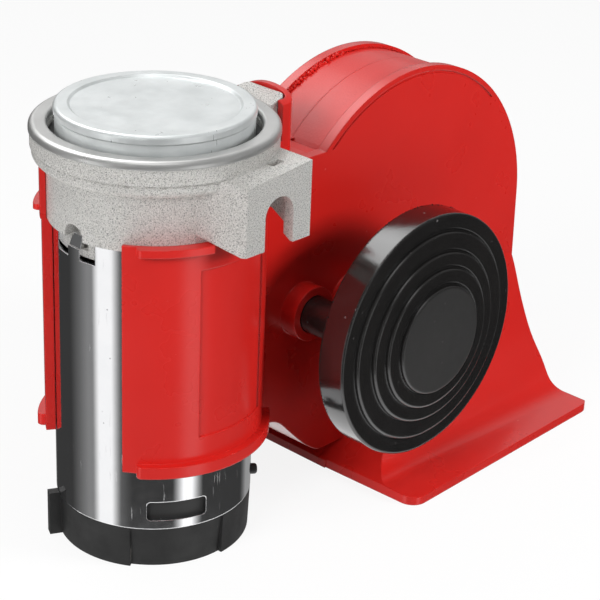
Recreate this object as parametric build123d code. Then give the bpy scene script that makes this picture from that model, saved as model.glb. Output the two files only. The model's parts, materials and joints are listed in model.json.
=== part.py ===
"""Compact twin-trumpet air horn with its own motor compressor.

Frame: +Z up along the compressor's axis, +X from the compressor towards the
horn, the near side towards -Y.  The origin is on the compressor's axis, at the
underside of its rubber foot.  All sizes are in millimetres.
"""
import os
from math import cos, exp, hypot, log, radians, sin

from build123d import *

# ---------------------------------------------------------------- driving sizes
# clearances
slip = 0.05                    # pieces of one body that slide together
running_fit = 0.03             # radial, shaft in its bushes
air_gap = 0.35                 # between turning and standing pieces

# motor can
can_radius = 25.6
can_wall = 1.2
can_low = 11.6
can_high = 88.4
window_angle = -118.7
window_sweep = 34.5
window_low = 14.1
window_high = 19.4
window_corner = 1.0
crimp_angle = 177.5
crimp_count = 3
crimp_tab_sweep = 10.0
crimp_tab_lean = 17.0
crimp_tab_tip = 3.2
crimp_bend_level = can_high - 3.0
crimp_notch_sweep = 11.0
crimp_notch_depth = 5.8
crimp_tab_rise = 1.2
crimp_arch_offset = 3.6
crimp_arch_radius = 3.2
crimp_arch_level = 0.7
crimp_arch_floor = can_radius - 3.0
crimp_play = 0.5
crimp_tab_share = 0.8          # its thickness, as a share of the can's wall

# rubber foot and end bell
foot_radius_low = can_radius - 1.6
foot_radius_high = can_radius - 0.4
foot_floor = 3.0
foot_wall = 1.9
foot_pad_rise = 1.1
foot_pad_root = 1.0            # how far a pad or rib runs into the foot's wall
foot_pad_sectors = ((-88.0, 88.0), (153.0, 214.0))
foot_rib_angle = 153.0
foot_rib_reach = foot_radius_low + 4.4
foot_rib_width = 2.6
foot_rib_high = 12.2
bell_floor = 4.5
bell_wall = 2.6
bell_top = 24.0
bell_lap = 1.0                 # of the end bell into the rubber foot's wall
bush_length = 8.0
bush_wall = 2.6
boss_wall = 2.5
plug_angle = -38.0
plug_level = 13.6
plug_radius = 1.5
plug_reach = can_radius + 1.9
terminal_angles = (48.0, 74.0)
terminal_width = 6.3
terminal_thickness = 0.8
terminal_reach = can_radius + 7.4
terminal_level = 7.6
terminal_root = can_radius - 5.6

# motor
shaft_radius = 3.0
shaft_low = 5.4
shaft_top_gap = 1.0
commutator_radius = 9.0
commutator_low = 16.5
commutator_length = 12.5
commutator_bars = 10
commutator_groove = 0.5
commutator_groove_depth = 0.8
brush_width = 5.0
brush_height = 6.5
brush_length = 7.0
brush_box_wall = 0.6
brush_box_length = 7.5
brush_box_start = 1.5          # from the brush's inner end
card_low = 15.4
card_thickness = 1.6
card_play = 1.5                # its bore round the commutator
magnet_thickness = 4.2
magnet_low = 34.0
magnet_length = 38.0
magnet_angle = 130.0
core_low = 38.0
core_length = 30.0
core_slots = 10
core_slot_radius = 2.3
core_slot_opening = 1.4
core_tooth_tip = 1.2
winding_overhang = 6.0
winding_inner = 5.0
winding_inset = 0.4            # of the end turns from the slots' outer end

# pump
head_radius = can_radius + 1.4
head_spigot_depth = 5.0
head_floor_high = can_high + 4.6
chamber_radius = can_radius - 6.0
rotor_radius = chamber_radius - 5.6
rotor_length = 12.0
rotor_hub_clearance = 0.1
liner_bore = rotor_radius + 2.2
liner_port_root = 3.0
liner_port_length = 8.0
vane_count = 4
vane_thickness = 1.5
vane_depth = 6.5
vane_flush = 0.2               # its edge below the rotor's round
vane_cut_room = 3.0
cover_plate_thickness = 3.0
screw_count = 4
screw_ring_radius = chamber_radius + 1.7
screw_radius = 1.2
screw_head_radius = 2.1
screw_head_height = 1.4
screw_length = 6.0
screw_end_gap = 0.5
screw_socket_radius = 1.1
screw_socket_depth = 0.8
flange_radius = head_radius + 4.0
flange_high = can_high + 24.4
flange_bore = head_radius - 0.6
flange_band_low = can_high + 22.2
flange_lower_radius = flange_radius - 0.7
lug_head_lap = 1.5             # of the lugs into the head's round
flange_groove = 0.3
lug_under_flange = 1.0
flange_edge_round = 1.5
flange_lip_round = 0.8
flange_lower_round = 1.8
flange_lower_low = can_high + 14.9
flange_step_level = can_high + 18.4

# near lug, with its open slot
lug_left = -2.6
lug_right = 19.2
lug_face = flange_radius + 4.0  # distance of its face from the axis, towards -Y
lug_wall = 3.2
lug_web_root = (-10.1, 2.0 - head_radius)
lug_low_front = can_high - 0.9
lug_low_back = can_high + 4.3
lug_high_left = can_high + 16.6
lug_high = can_high + 18.9
lug_plate = 3.0
slot_centre = 8.4
slot_width = 9.6
slot_high = can_high + 12.1
lug_hole_length = 4.6
lug_hole_width = 2.2
lug_hole_turn = 8.0
lug_hole_place = (10.9, 4.4 - lug_face)
lug_root_lap = 9.0             # how far its plan runs in under the head's round
lug_slope_step = (2.6, 7.0)    # second direction of its sloping top, in x and y
lug_slope_room = 20.0
lug_under_flat = 1.0           # level strip under its front wall
lug_under_depth = 3.0
lug_under_reach = 12.0

# outlet lug and nipple
outlet_reach = flange_radius + 7.2
outlet_half_width = 7.4
outlet_low = can_high + 2.0
outlet_high_near_flange = can_high + 22.0
outlet_high_outer = can_high + 24.0
outlet_root = 5.0              # how far it runs in under the head's round
outlet_flat = 1.0
nipple_x = outlet_reach - 4.8
nipple_radius = 3.2
nipple_bore = 1.8
nipple_low = can_high - 5.4
nipple_grip = 5.0
seal_drop = 0.5                # of the rubber sleeve below the cup's floor
nipple_seal_wall = 1.0
nipple_seal_length = 3.0

# head cap
cap_radius = flange_bore - 1.5
cap_high = can_high + 28.6
cap_shoulder = cap_high - 2.1
cap_bead = 0.3
cap_sheet = 0.8
cap_dish_radius = cap_radius - 4.1
cap_dish_depth = 0.6
cap_edge_round = 0.9
cap_seal_thickness = 1.0
cap_seal_play = 0.1

# cradle
cradle_gap = 0.1               # between the can and the arms
cradle_wall = 2.5
cradle_low = 29.2
near_arm_high = can_high + 2.0
arm_end_angle = 148.5
lip_rise = 2.0
lip_root = 0.5                 # how far a rib runs into the cradle's wall
lip_height = 2.7
lip_low_lap = 0.5              # below the shell's lower edge
near_lip_height = 2.0
near_lip_angle = 104.0
far_lip_low = can_high + 0.6
far_lip_high = can_high + 2.1
lip_end_round = 1.6
lip_end_angle = 141.0
lip_root_angle = 38.0
panel_depth = 0.4
panel_angle = 62.0
panel_sweep = 47.0
panel_low = 38.3
panel_high = 83.6
arm_tail_high = can_high + 14.6
arm_tail_wall = 1.5
arm_tail_angle = 122.0
arm_step_low = can_high - 0.2

# snail housing, seen in the XZ plane
housing_centre = (83.4, 62.6)
housing_radius = 48.5
housing_right = 132.3
kink_level = 41.8
cover_overhang = 1.2
cover_thickness = 3.0
half_width = 14.0
snail_shift = 1.0              # its middle plane, from the compressor's axis, towards +Y
duct_wall = 2.2
web_half = 1.0
web_gap_at_rim = 2.0
shoulder_level = can_high + 7.5
shelf_thickness = 2.2
shelf_lap = 9.0                 # how far it runs in under the round duct wall
groove_inset = 1.5
groove_width = 0.7
groove_depth = 0.4
toe_points = ((50.0, 7.2), (42.4, 12.6), (36.2, 18.9), (31.4, 22.4))
toe_strip = 2.6
toe_length = 30.0
toe_lap = 4.0                  # how far it runs in under the cradle's wall
toe_rise = 2.0

# spiral duct
throat_centre = (61.6, 48.5)
throat_width = 11.5
duct_start_angle = 213.0
duct_round_angle = 135.0
duct_width_at_top = 27.0       # at 90 degrees
duct_end_angle = 30.0
duct_end_round = 6.3
duct_outer_start = 31.0
duct_left_end = 82.2           # inner wall at the kink level
inset_samples = 16

# bell
mouth_left = 53.0
mouth_slant = 1.6               # its left edge leans towards the bell at the ends
mouth_right = 138.8
mouth_ledge = 1.2
mouth_half = 46.0
mouth_half_right = 43.0
mouth_inner_half = 31.0
mouth_corner = 4.5
lip_band = 2.4
bell_drop = 12.0               # how far the cutters run below the rim
bell_right = ((135.4, 8.0), (134.2, 17.0), (133.3, 29.0), (132.3, 41.8), (124.4, 62.4))
bell_tip = (106.0, 86.5)
bell_left = ((92.0, 68.0), (85.6, 52.0), (79.5, 38.0), (71.0, 23.0), (62.0, 9.6))
bell_flare = (
    (39.0, 2.7),
    (33.6, 3.3),
    (30.4, 5.2),
    (27.0, 10.8),
    (23.4, 17.4),
    (19.4, 26.5),
    (16.4, 34.5),
    (14.4, 42.0),
)
bell_flare_top = 84.0

# air gallery, sockets and cup
socket_place = (nipple_x + 7.1, 53.5)
socket_bore = 5.25
socket_wall = 2.3
socket_length = 5.0
socket_play = 0.15
gallery_bore = 2.6
gallery_wall = 2.0
cup_wall = 1.8
cup_gap = 0.2
cup_end_gap = 0.6
cup_crown = 17.6              # radius of its arched top
cup_near_start = outlet_reach - 3.2
cup_near_low = can_high + 12.6
cup_high = can_high + 24.9
cup_floor = can_high - 0.4
cup_corner = 4.0
cup_lead = 6.0

# diaphragm unit: levels are distances from the horn's middle plane
disc_radius = 33.8
disc_back = 33.1
disc_rim = 41.35
disc_terraces = ((29.0, 1.1), (23.7, 2.2), (19.5, 3.25), (15.1, 4.3))
disc_groove = 0.35
disc_groove_width = 0.6
disc_nose_round = 0.6
disc_skirt = 1.6
disc_face_wall = 2.4
disc_land = 5.4
disc_land_step = 1.0
tray_floor = 2.2
tray_seat_height = 1.5
tray_seat_width = 6.0
tray_play = 0.15
tray_lift = 0.3                # of its back from the cap's back edge
throat_bore = 4.5
throat_tube_wall = 2.6
collar_length = 6.0
collar_wall = 1.9
throat_seal_wall = 1.4
throat_seal_length = 1.8
spigot_wall = 2.0
spigot_entry = 12.5
diaphragm_thickness = 0.4
gasket_thickness = 1.0

# ------------------------------------------------------------- derived values
can_inner = can_radius - can_wall
cradle_inner = can_radius + cradle_gap
cradle_outer = cradle_inner + cradle_wall
lip_radius = cradle_outer + lip_rise
inner_half = half_width - cover_thickness
duct_radius = housing_radius - cover_overhang - duct_wall
bell_radius = foot_radius_low - foot_wall + bell_lap
shaft_bore = shaft_radius + running_fit
bush_radius = shaft_bore + bush_wall
liner_offset = liner_bore - rotor_radius - air_gap
chamber_high = head_floor_high + rotor_length + 2 * rotor_hub_clearance
cover_plate_high = chamber_high + cover_plate_thickness
shaft_high = chamber_high - shaft_top_gap
cap_low = cover_plate_high + cap_seal_thickness
cover_plate_radius = flange_bore - slip
head_socket_inner = head_radius + cradle_gap
tail_outer = head_socket_inner + arm_tail_wall
spigot_radius = socket_bore - socket_play
throat_tube = throat_bore + throat_tube_wall
tray_back = disc_back + tray_lift
tray_face = tray_back + tray_floor
tray_rim = tray_face + tray_seat_height
tray_radius = disc_radius - disc_skirt - tray_play
diaphragm_face = tray_rim + diaphragm_thickness
gasket_face = diaphragm_face + gasket_thickness
far_reach = 400.0              # longer than anything here, for cutters
over = 1.0                     # how far a cutter runs past the face it opens


# ------------------------------------------------------------------- helpers
def tube(outer, inner, low, high, place=(0, 0)):
    """Upright round tube, or a rod where inner is 0."""
    section = Circle(outer)
    if inner > 0:
        section = section - Circle(inner)
    return extrude(Pos(place[0], place[1], low) * section, high - low)


def turned(*points):
    """Solid of revolution about Z from a closed outline of (radius, level)."""
    return revolve(Plane.XZ * make_face(Polyline(*points, close=True)), Axis.Z)


def rounded(section, radius, *corners):
    """Plane section with the corners nearest to the given points rounded."""
    picked = []
    for x, y in corners:
        picked.append(min(section.vertices(), key=lambda vertex: hypot(vertex.X - x, vertex.Y - y)))
    return fillet(picked, radius)


def polar(radius, angle, centre=(0, 0)):
    """Point at an angle, in degrees, about a centre."""
    return (centre[0] + radius * cos(radians(angle)), centre[1] + radius * sin(radians(angle)))


def sector(radius, start, stop, low, high, inner=0.0):
    """Upright slice of a cylinder between two angles."""
    outline = Polyline((0, 0), polar(radius, start))
    outline = outline + CenterArc((0, 0), radius, start, stop - start)
    outline = outline + Polyline(polar(radius, stop), (0, 0))
    body = extrude(Pos(0, 0, low) * make_face(outline), high - low)
    if inner > 0:
        body = body - tube(inner, 0, low - over, high + over)
    return body


def side_plane(level):
    """Plane parallel to XZ on the near side, facing outwards."""
    return Plane((0, -level, 0), x_dir=(1, 0, 0), z_dir=(0, -1, 0))


def across(face, start, stop):
    """Prism of an XZ face between two distances from the middle plane, near side."""
    return extrude(side_plane(start) * face, stop - start)


def through(face, half):
    """Prism of an XZ face, the same distance to both sides of the middle plane."""
    return extrude(side_plane(0) * face, half, both=True)


def round_about(place, *points):
    """Solid of revolution about a line along Y, from (radius, distance) points."""
    outline = make_face(Polyline(*points, close=True))
    body = revolve(Plane.XY * outline, Axis.Y)
    return Pos(place[0], 0, place[1]) * mirror(body, Plane.XZ)


def disc_at(place, radius):
    """Round XZ face."""
    return Pos(place[0], place[1]) * Circle(radius)


def block(x_span, y_span, z_span):
    """Box between pairs of limits."""
    size = [abs(span[1] - span[0]) for span in (x_span, y_span, z_span)]
    middle = [(span[0] + span[1]) / 2 for span in (x_span, y_span, z_span)]
    return Pos(*middle) * Box(*size)


def far(body):
    """Mirror image on the far side."""
    return mirror(body, Plane.XZ)


def placed(body):
    """Move a piece of the snail to its middle plane."""
    return Pos(0, snail_shift, 0) * body


def duct_width(angle):
    """Radial width of the spiral duct, growing at a constant rate."""
    rate = log(duct_width_at_top / throat_width) / (duct_start_angle - 90.0)
    return throat_width * exp(rate * (duct_start_angle - angle))


def duct_outer_radius(angle):
    """Outer wall radius: it opens out, then keeps the housing's round."""
    if angle <= duct_round_angle:
        return duct_radius
    share = (angle - duct_round_angle) / (duct_start_angle - duct_round_angle)
    return duct_radius - (duct_radius - duct_outer_start) * share ** 1.6


# ------------------------------------------------------- outlines in the XZ plane
def beside(edge, distance):
    """Smooth curve at a distance to the left of a plane curve."""
    points = []
    for index in range(inset_samples + 1):
        share = index / inset_samples
        tangent = edge % share
        points.append(edge @ share + Vector(-tangent.Y, tangent.X) * distance)
    return Spline(points)


def left_of(edge, distance, *corners):
    """Face to the left of a curve moved in by a distance, closed over far corners."""
    curve = beside(edge, distance) if distance > 0 else edge
    closing = Polyline(curve @ 1, *corners, curve @ 0)
    return make_face([*curve.edges(), *closing.edges()])


def bell_face(inset):
    """Outline of the bell between its walls, taken in by inset, run down past the rim."""
    start = (mouth_right - mouth_ledge, lip_band)
    right = Spline(start, *bell_right, bell_tip, tangents=((-1, 0.25), (-0.6, 0.4)))
    left = Spline(bell_tip, *bell_left, (mouth_left, lip_band), tangents=((-0.6, -0.8), (-1, -0.35)))
    high = bell_tip[1] + bell_drop
    left_x = mouth_left - bell_drop
    right_x = mouth_right + bell_drop
    right_corners = ((left_x, high), (left_x, -bell_drop), (mouth_right - inset, -bell_drop))
    left_corners = ((mouth_left + inset, -bell_drop), (right_x, -bell_drop), (right_x, high))
    face = left_of(right, inset, *right_corners) & left_of(left, inset, *left_corners)
    middle = ((mouth_left + mouth_right) / 2, bell_tip[1] / 2)
    limit = Rectangle(mouth_right - mouth_left - 2 * inset, bell_tip[1] + 2 * bell_drop)
    return face & (Pos(*middle) * limit)


def flare_face(inset):
    """Outline of the bell from the front: half widths that open towards the rim."""
    top = (half_width, bell_flare_top)
    edge = Spline((mouth_half, lip_band), *bell_flare, top, tangents=((-1, 0.03), (0, 1)))
    corners = ((0, bell_flare_top), (0, -bell_drop), (mouth_half - inset, -bell_drop))
    half = left_of(edge, inset, *corners)
    limit = Rectangle(2 * (mouth_inner_half if inset > 0 else mouth_half), 2 * bell_flare_top)
    return (half + mirror(half, Plane.YZ)) & limit


def mouth_face(inset):
    """Plan of the mouth's rim: widest near the compressor, with rounded corners."""
    left = mouth_left + inset
    right = mouth_right - inset
    corner = (left + mouth_slant, mouth_half - inset)
    end = (right, mouth_half_right - inset)
    face = make_face(
        Polyline((left, 0), corner, end, (end[0], -end[1]), (corner[0], -corner[1]), close=True)
    )
    near_corner = (corner[0], -corner[1])
    near_end = (end[0], -end[1])
    return rounded(face, mouth_corner - inset, corner, end, near_corner, near_end)


def bell_solid(inset):
    """Bell as the meeting of its two outlines, taken in by inset all round."""
    body = through(bell_face(inset), far_reach / 2) & extrude(Plane.YZ * flare_face(inset), far_reach)
    return body & extrude(Pos(0, 0, -bell_drop) * mouth_face(inset), far_reach / 2)


def duct_face(grow):
    """Section of the spiral duct, its walls moved outwards by grow."""
    centre = housing_centre
    start_angles = (duct_start_angle, 195.0, 175.0, 155.0, duct_round_angle)
    outer_points = [polar(duct_outer_radius(angle) + grow, angle, centre) for angle in start_angles]
    tangent = (sin(radians(duct_round_angle)), -cos(radians(duct_round_angle)))
    outer_start = Spline(outer_points, tangents=((-0.4, 0.9), tangent))
    outer_round = CenterArc(centre, duct_radius + grow, 0, duct_round_angle)
    inner_angles = (duct_start_angle, 194.0, 175.0, 155.0, 135.0, 112.0, 90.0, 68.0, 45.0, duct_end_angle)
    inner_points = [
        polar(duct_outer_radius(angle) - duct_width(angle) - grow, angle, centre) for angle in inner_angles
    ]
    left_low = (duct_left_end - grow, kink_level)
    inner = Spline(*inner_points, left_low)
    closing = Line(outer_points[0], inner_points[0])
    right_x = housing_right - cover_overhang - duct_wall + grow
    sides = Polyline((centre[0] + duct_radius + grow, centre[1]), (right_x, kink_level), left_low)
    edges = [outer_start, outer_round, sides, inner, closing]
    face = make_face([edge for piece in edges for edge in piece.edges()])
    return face + disc_at(throat_centre, duct_end_round + grow)


def toe_face():
    """Flat part between the cradle and the round housing, with its stepped toe."""
    left = cradle_outer - toe_lap
    toe = Spline(toe_points[0], *toe_points[1:], tangents=((-0.9, 0.35), (-0.95, 0.3)))
    rest = Polyline(
        toe_points[-1],
        (left, toe_points[-1][1] + toe_rise),
        (left, shoulder_level),
        (housing_centre[0], shoulder_level),
        (housing_centre[0], toe_points[0][1]),
        toe_points[0],
    )
    return make_face([*toe.edges(), *rest.edges()])


def housing_face(overhang):
    """Outline of a side plate, or of the middle web where overhang is taken off."""
    centre = housing_centre
    radius = housing_radius - overhang
    round_part = disc_at(centre, radius)
    straight = make_face(
        Polyline(
            centre,
            (centre[0] + radius, centre[1]),
            (housing_right - overhang, kink_level),
            (centre[0], kink_level),
            close=True,
        )
    )
    return round_part + straight + toe_face() + bell_face(0.0)


# --------------------------------------------------------------- horn mouldings
def above_rim(body):
    """Cut a body off at the plane of the mouth's rim."""
    keep = block((-far_reach, far_reach), (-far_reach, far_reach), (0, far_reach))
    return body & keep


def make_cover():
    """Near cover: side plate, its half of the bell, throat collar and air socket."""
    plate = across(housing_face(0.0), inner_half, half_width)
    side = block((-far_reach, far_reach), (-far_reach, -inner_half), (-far_reach, far_reach))
    bell = bell_solid(0.0) & side
    collar_radius = throat_tube + throat_seal_wall + collar_wall
    collar_high = half_width + collar_length
    collar = across(disc_at(throat_centre, collar_radius), half_width, collar_high)
    socket_outer = socket_bore + socket_wall
    socket = across(disc_at(socket_place, socket_outer), half_width, half_width + socket_length)
    body = above_rim(plate + bell) + collar + socket
    body = body - bell_solid(duct_wall)
    body = body - across(disc_at(throat_centre, throat_bore), 0, half_width + over)
    tube_seat = throat_tube + slip
    body = body - across(disc_at(throat_centre, tube_seat), half_width, collar_high + over)
    seal_low = collar_high - throat_seal_length - slip
    seal_seat = throat_tube + throat_seal_wall
    body = body - across(disc_at(throat_centre, seal_seat), seal_low, collar_high + over)
    body = body - across(disc_at(socket_place, socket_bore), 0, half_width + socket_length + over)
    outer = disc_at(housing_centre, housing_radius - groove_inset)
    groove = outer - disc_at(housing_centre, housing_radius - groove_inset - groove_width)
    low_part = Rectangle(far_reach, 2 * (shoulder_level - kink_level))
    groove = groove - Pos(housing_centre[0], kink_level) * low_part
    body = body - across(groove, half_width - groove_depth, half_width + over)
    return body


def clear_of_cradle(cover):
    """Cover with the room for the cradle cut away."""
    return cover - tube(cradle_outer + slip, 0, -over, arm_tail_high)


def lip(start, low, high):
    """Rib round the outside of an arm near its free end, far side."""
    rib = sector(lip_radius, start, lip_end_angle, low, high, cradle_outer - lip_root)
    free_end = rib.edges().filter_by(Axis.Z).sort_by(lambda edge: edge.center().X)
    outer = [edge for edge in free_end if hypot(edge.center().X, edge.center().Y) > lip_radius - 0.1]
    return fillet(outer[0], lip_end_round)


def make_cradle():
    """C-shaped cradle: shell, end lips, side panels and the taller far arm."""
    shell = tube(cradle_outer, cradle_inner, cradle_low, near_arm_high)
    low_lip = lip(lip_root_angle, cradle_low - lip_low_lap, cradle_low + lip_height)
    near_lip = lip(near_lip_angle, near_arm_high - near_lip_height, near_arm_high)
    tail = sector(tail_outer, arm_tail_angle, arm_end_angle, arm_step_low, arm_tail_high, head_socket_inner)
    far_lip = lip(arm_tail_angle, far_lip_low, far_lip_high)
    cradle = shell + low_lip + far(low_lip) + far(near_lip) + tail + far_lip
    cradle = cradle - tube(head_socket_inner, 0, arm_step_low, arm_tail_high + over)
    cradle = cradle - sector(2 * lip_radius, arm_end_angle, 360.0 - arm_end_angle, 0, arm_tail_high + over)
    panel = make_panel()
    return cradle - panel - far(panel)


def make_panel():
    """Cutter for the shallow panel in the near arm's outside."""
    start = -panel_angle - panel_sweep
    return sector(
        cradle_outer + over, start, start + panel_sweep, panel_low, panel_high, cradle_outer - panel_depth
    )


def cup_block(wall, low, high):
    """Upright block round the outlet lug, rounded on the horn side."""
    left = cradle_inner - cup_lead
    right = outlet_reach + cup_end_gap + wall
    width = 2 * (outlet_half_width + cup_gap + wall)
    corner = cup_corner - cup_wall + wall
    plan = RectangleRounded(right - left, width, corner)
    return extrude(Pos((left + right) / 2, 0, low) * plan, high - low)


def make_cup():
    """Cup round the outlet lug, open at the top and towards the head."""
    cup = cup_block(cup_wall, cup_floor - shelf_thickness, cup_high)
    cup = cup - tube(cradle_inner, 0, 0, cup_high + over)
    crown = Plane.YZ * (Pos(0, cup_high - cup_crown) * Circle(cup_crown))
    cup = cup & extrude(crown, far_reach / 4)
    outside = cup_high + over
    cup = cup - block((0, cup_near_start), (-far_reach, -outlet_half_width), (cup_near_low, outside))
    return cup - tube(flange_radius + 2 * cup_gap, 0, flange_lower_low - over, outside)


def make_ducts():
    """Walls of both ducts with the centre web, toe, shelf and the air gallery's cross tube."""
    duct = duct_face(0.0)
    bell_inside = bell_face(duct_wall)
    walls = (duct_face(duct_wall) + bell_face(0.0)) - duct - bell_inside
    web = through(housing_face(cover_overhang), web_half)
    web = web - block((mouth_left, mouth_right), (-far_reach, far_reach), (-over, web_gap_at_rim))
    toe = toe_face()
    toe_wall = toe - Pos(0, toe_strip) * toe
    toe_keep = Pos(toe_points[-1][0] + toe_length / 2, toe_points[-1][1]) * Rectangle(toe_length, toe_length)
    shelf = block(
        (cradle_inner, housing_centre[0] - duct_radius + shelf_lap),
        (-inner_half, inner_half),
        (shoulder_level - shelf_thickness, shoulder_level),
    )
    body = above_rim(through(walls, inner_half)) + above_rim(web) + shelf
    body = body + through((toe_wall & toe_keep) - bell_inside, inner_half)
    body = body + through(disc_at(socket_place, socket_bore + socket_wall), inner_half)
    cavity = through(duct, inner_half) - through(duct, web_half)
    return body - cavity.solids()[0] - cavity.solids()[1]


def make_body():
    """Middle moulding: ducts, cradle, cup and the gallery that feeds both sides."""
    seal_seat = nipple_radius + nipple_seal_wall
    gallery_outer = gallery_bore + gallery_wall
    body = placed(make_ducts())
    body = body + tube(gallery_outer, 0, socket_place[1] - gallery_outer, cup_floor, (nipple_x, 0))
    body = body + tube(seal_seat + gallery_wall, 0, nipple_low - gallery_wall, cup_floor, (nipple_x, 0))
    body = body + make_cradle() + make_cup()
    body = body - tube(gallery_bore, 0, socket_place[1], cup_floor + over, (nipple_x, 0))
    body = body - tube(seal_seat, 0, nipple_low, cup_floor + over, (nipple_x, 0))
    body = body - placed(through(disc_at(socket_place, socket_bore), inner_half + over))
    body = body - cup_block(0.0, cup_floor, far_reach / 2)
    body = body - tube(cradle_inner, 0, -over, arm_step_low + over)
    return body - tube(head_socket_inner, 0, arm_step_low, flange_high + over)


# ------------------------------------------------------------ diaphragm units
def make_cap():
    """Stepped cap with its skirt, near side."""
    outline = [(disc_radius, disc_back), (disc_radius, disc_rim)]
    noses = [outline[-1]]
    height = disc_rim
    for radius, rise in disc_terraces:
        outline.append((radius + disc_groove_width, height))
        outline.append((radius + disc_groove_width, height - disc_groove))
        outline.append((radius, height - disc_groove))
        height = disc_rim + rise
        outline.append((radius, height))
        noses.append(outline[-1])
    centre_radius = disc_terraces[-1][0]
    inner = disc_radius - disc_skirt
    land = inner - disc_land
    outline.append((0, height))
    outline.append((0, height - disc_face_wall))
    outline.append((centre_radius, height - disc_face_wall))
    outline.append((land, gasket_face + disc_land_step))
    outline.append((land, gasket_face))
    outline.append((inner, gasket_face))
    outline.append((inner, disc_back))
    section = rounded(make_face(Polyline(*outline, close=True)), disc_nose_round, *noses)
    body = revolve(Plane.XY * section, Axis.Y)
    return Pos(throat_centre[0], 0, throat_centre[1]) * mirror(body, Plane.XZ)


def make_tray():
    """Back tray: throat tube with its nozzle lip, floor, seat and air spigot."""
    seat = tray_radius - tray_seat_width
    tray = round_about(
        throat_centre,
        (throat_bore, half_width + slip),
        (throat_tube, half_width + slip),
        (throat_tube, tray_back),
        (tray_radius, tray_back),
        (tray_radius, tray_rim),
        (seat, tray_rim),
        (seat, tray_face),
        (throat_tube, tray_face),
        (throat_tube, tray_rim - slip),
        (throat_bore, tray_rim - slip),
    )
    spigot = across(disc_at(socket_place, spigot_radius), spigot_entry, tray_face)
    bore = across(disc_at(socket_place, spigot_radius - spigot_wall), spigot_entry - over, tray_face + over)
    return tray + spigot - bore


def make_diaphragm():
    """Thin sounding disc."""
    return across(disc_at(throat_centre, tray_radius), tray_rim, diaphragm_face)


def make_gasket():
    """Ring that clamps the diaphragm under the cap."""
    ring = disc_at(throat_centre, tray_radius) - disc_at(throat_centre, tray_radius - disc_land)
    return across(ring, diaphragm_face, gasket_face)


def make_throat_seal():
    """Square rubber ring between the throat tube and the cover's collar."""
    ring = disc_at(throat_centre, throat_tube + throat_seal_wall) - disc_at(throat_centre, throat_tube)
    high = half_width + collar_length
    return across(ring, high - throat_seal_length, high)


# -------------------------------------------------------------------- motor
def make_tab():
    """Crimped tab: narrows to a round tip and leans in over the head's spigot."""
    root = can_radius * sin(radians(crimp_tab_sweep / 2))
    tip = crimp_tab_tip / 2
    length = can_high + crimp_tab_rise - crimp_bend_level
    outline = make_face(
        Polyline((-root, 0), (root, 0), (tip, length), (-tip, length), close=True)
    )
    outline = rounded(outline, crimp_tab_tip / 3, (tip, length), (-tip, length))
    lean = radians(crimp_tab_lean)
    flat = Plane(
        (can_radius - can_wall / 3, 0, crimp_bend_level - can_wall / 4),
        x_dir=(0, 1, 0),
        z_dir=(cos(lean), 0, sin(lean)),
    )
    return extrude(flat * outline, -can_wall * crimp_tab_share)


def make_can():
    """Steel can with windows and crimped top edge."""
    can = tube(can_radius, can_inner, can_low, can_high)
    for turn in (0, 180):
        length = can_radius * radians(window_sweep)
        opening = RectangleRounded(length, window_high - window_low, window_corner)
        flat = Plane(
            (0, 0, (window_low + window_high) / 2),
            x_dir=(-sin(radians(window_angle + turn)), cos(radians(window_angle + turn)), 0),
            z_dir=(cos(radians(window_angle + turn)), sin(radians(window_angle + turn)), 0),
        )
        can = can - extrude(flat * opening, 2 * can_radius)
    for index in range(crimp_count):
        middle = crimp_angle + index * 360.0 / crimp_count
        half_tab = crimp_tab_sweep / 2
        for start in (middle - half_tab - crimp_notch_sweep, middle - half_tab, middle + half_tab):
            stop = start + (crimp_tab_sweep if start == middle - half_tab else crimp_notch_sweep)
            low = crimp_bend_level if start == middle - half_tab else can_high - crimp_notch_depth
            can = can - sector(can_radius + over, start, stop, low, can_high + over)
        can = can + Rot(0, 0, middle) * make_tab()
    return can - plug_hole()


def plug_hole():
    """Round passage for the terminal plug through the can and end bell."""
    plane = Plane((0, 0, plug_level), z_dir=(cos(radians(plug_angle)), sin(radians(plug_angle)), 0))
    hole = extrude(plane * Circle(plug_radius), can_radius + over)
    return hole - tube(can_inner - bell_wall / 2, 0, 0, can_high)


def make_plug():
    """Domed black plug of the supply lead's passage."""
    plane = Plane((0, 0, plug_level), z_dir=(cos(radians(plug_angle)), sin(radians(plug_angle)), 0))
    stem = extrude(plane * Circle(plug_radius - slip), plug_reach)
    stem = stem - tube(can_inner - bell_wall / 2 + slip, 0, 0, can_high)
    outer = stem.faces().sort_by(Axis((0, 0, 0), tuple(plane.z_dir)))[-1]
    return fillet(outer.edges(), plug_radius / 2)


def terminal_cut(extra):
    """Flat blades that stand out of the end bell, or the slots for them."""
    blades = []
    for angle in terminal_angles:
        size = (terminal_reach - terminal_root, terminal_width + 2 * extra, terminal_thickness + 2 * extra)
        blade = Pos((terminal_reach + terminal_root) / 2, 0, terminal_level) * Box(*size)
        blades.append(Rot(0, 0, angle) * blade)
    return blades


def make_end_bell():
    """Plastic end bell that closes the can and holds the lower bush."""
    wall_inner = can_inner - bell_wall
    floor_high = foot_floor + bell_floor
    boss = bush_radius + boss_wall
    bell = turned(
        (bush_radius, foot_floor),
        (bell_radius, foot_floor),
        (bell_radius, can_low),
        (can_inner, can_low),
        (can_inner, bell_top),
        (wall_inner, bell_top),
        (wall_inner, floor_high),
        (boss, floor_high),
        (boss, floor_high + bush_length - bell_floor),
        (bush_radius, floor_high + bush_length - bell_floor),
    )
    bell = bell - plug_hole()
    for blade in terminal_cut(0.0):
        bell = bell - blade
    return bell


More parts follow.
